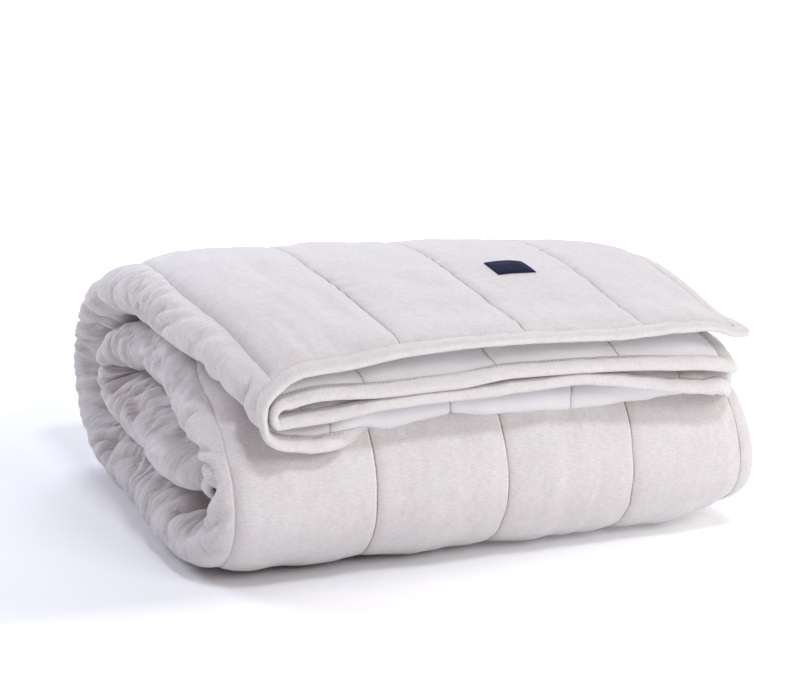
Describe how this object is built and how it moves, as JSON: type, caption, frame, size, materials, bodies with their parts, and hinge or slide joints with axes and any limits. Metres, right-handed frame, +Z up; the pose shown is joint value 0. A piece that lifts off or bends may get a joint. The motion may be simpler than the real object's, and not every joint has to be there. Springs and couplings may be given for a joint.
{
  "type": "folded quilted comforter",
  "caption": "Channel-quilted comforter with a bound edge, folded in four layers and rolled flat, its hem open at the front.",
  "frame": {"origin": "on the floor, under the middle of the folded comforter's bounding box", "axes": "+X to the right along the front fold, +Y from the front fold to the back bend, +Z up"},
  "size_m": [0.6136, 0.5808, 0.2775],
  "materials": {
    "quilt_cloth": "short velvety pile, heathered",
    "binding_cloth": "short velvety pile, heathered",
    "label_cloth": "smooth woven"
  },
  "bodies": {
    "root": {"quilt": "quilt_cloth", "binding": "binding_cloth", "label": "label_cloth"}
  },
  "joints": []
}
